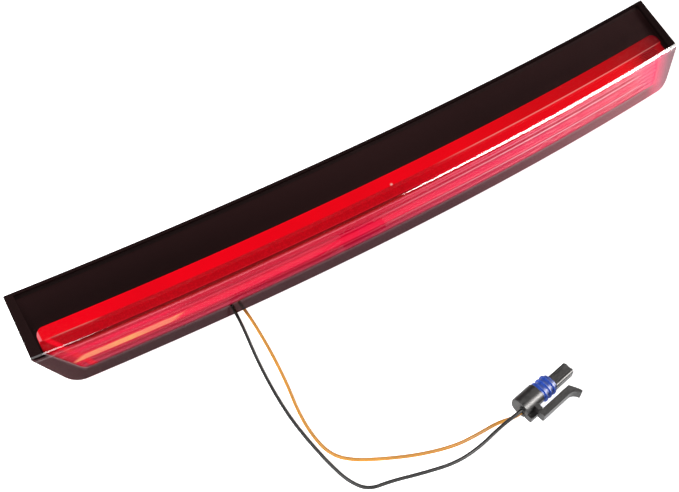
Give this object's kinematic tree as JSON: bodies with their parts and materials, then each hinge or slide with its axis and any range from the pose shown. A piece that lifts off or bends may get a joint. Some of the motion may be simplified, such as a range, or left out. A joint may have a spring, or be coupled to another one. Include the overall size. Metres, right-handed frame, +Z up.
{
  "type": "third brake light",
  "caption": "Curved bar-shaped high-level brake lamp: smoked L-section cover over a red lens, LED strip, black housing on feet, and a two-wire pigtail with a sealed plug.",
  "frame": {"origin": "middle of the lamp's footprint, at the level of its mounting faces, measured without the pigtail", "axes": "+X along the lamp, +Y away from whoever looks at the lens, +Z up from the mounting faces"},
  "size_m": [0.602, 0.2685, 0.0665],
  "materials": {
    "smoked_cover": "clear smoked acrylic, polished",
    "black_plastic": "gloss black",
    "housing_plastic": "satin black ABS",
    "red_lens": "moulded red acrylic, fluted front and textured step",
    "red_plastic": "moulded red acrylic",
    "butyl_seal": "matt",
    "foam_seal": "closed-cell foam",
    "black_rubber": "matt",
    "zinc_steel": "zinc plated",
    "brass_insert": "turned",
    "white_reflector": "white gloss",
    "circuit_board": "green solder mask",
    "led_red": "epoxy-capped",
    "chip_black": "moulded chip",
    "tinned_wire": "tinned",
    "yellow_insulation": "satin PVC",
    "black_insulation": "satin PVC",
    "connector_plastic": "satin black nylon",
    "blue_silicone": "satin silicone"
  },
  "bodies": {
    "lamp": {"outer_cover": "smoked_cover", "bezel": "black_plastic", "inner_lens": "red_lens", "lens_end_plates": "red_plastic", "cover_seal": "butyl_seal", "bezel_screws": "zinc_steel", "carrier_frame": "housing_plastic", "housing": "housing_plastic", "threaded_inserts": "brass_insert", "mount_seals": "foam_seal", "vent_plug": "black_plastic", "lead_grommet": "black_rubber", "reflector": "white_reflector", "led_board_left": "circuit_board", "led_board_centre": "circuit_board", "led_board_right": "circuit_board", "leds_left": "led_red", "leds_centre": "led_red", "leds_right": "led_red", "board_screws": "zinc_steel", "resistors": "chip_black", "reverse_diode": "chip_black", "board_jumpers": "tinned_wire", "solder_joints": "tinned_wire", "lead_yellow_inner": "yellow_insulation", "lead_black_inner": "black_insulation", "wire_yellow": "yellow_insulation", "wire_black": "black_insulation", "connector_body": "connector_plastic", "connector_seal": "blue_silicone", "terminals": "tinned_wire", "wire_seals": "black_rubber"},
    "latch": {"connector_latch": "connector_plastic"},
    "lock": {"terminal_lock": "connector_plastic"}
  },
  "joints": [
    {"name": "latch_hinge", "type": "hinge", "parent": "lamp", "child": "latch", "pos_m": [-0.0108, -0.21773, 0.008], "axis": [0, 0, -1], "range_deg": [0, 8], "stiffness_Nm_per_rad": 0.02},
    {"name": "lock_slide", "type": "slide", "parent": "lamp", "child": "lock", "axis": [-0.9836, -0.1805, 0], "range_m": [0, 0.003]}
  ]
}
